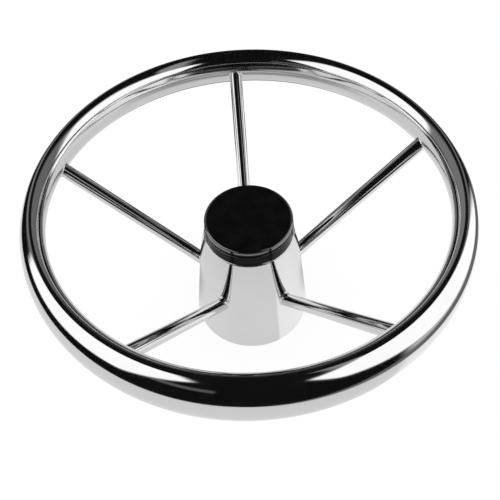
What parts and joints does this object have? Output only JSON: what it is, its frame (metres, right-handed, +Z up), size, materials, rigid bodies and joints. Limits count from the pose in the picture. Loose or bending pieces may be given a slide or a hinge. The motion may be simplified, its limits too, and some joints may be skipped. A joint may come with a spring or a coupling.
{
  "type": "stainless boat steering wheel",
  "caption": "Dished boat steering wheel: oval polished stainless rim on round spokes, bell hub with a keyed taper boss inside and a snap-in black cap.",
  "frame": {"origin": "centre of the hub's foot, on the shaft axis, in the plane that the wheel stands on", "axes": "+Z up the shaft axis towards the driver; +Y towards the first spoke and the keyway; +X to its right"},
  "size_m": [0.343, 0.343, 0.1666],
  "materials": {
    "polished_stainless": "mirror-polished stainless steel",
    "machined_stainless": "turned and ground stainless steel",
    "black_plastic": "gloss black moulding"
  },
  "bodies": {
    "root": {"rim": "polished_stainless", "hub_shell": "polished_stainless", "hub_plate": "machined_stainless", "hub_boss": "machined_stainless", "centre_cap": "black_plastic", "spoke_1": "polished_stainless", "spoke_2": "polished_stainless", "spoke_3": "polished_stainless", "spoke_4": "polished_stainless", "spoke_5": "polished_stainless", "plate_weld": "machined_stainless", "boss_weld": "machined_stainless", "rim_weld_1": "polished_stainless", "rim_weld_2": "polished_stainless", "rim_weld_3": "polished_stainless", "rim_weld_4": "polished_stainless", "rim_weld_5": "polished_stainless", "hub_weld_1": "polished_stainless", "hub_weld_2": "polished_stainless", "hub_weld_3": "polished_stainless", "hub_weld_4": "polished_stainless", "hub_weld_5": "polished_stainless"}
  },
  "joints": []
}
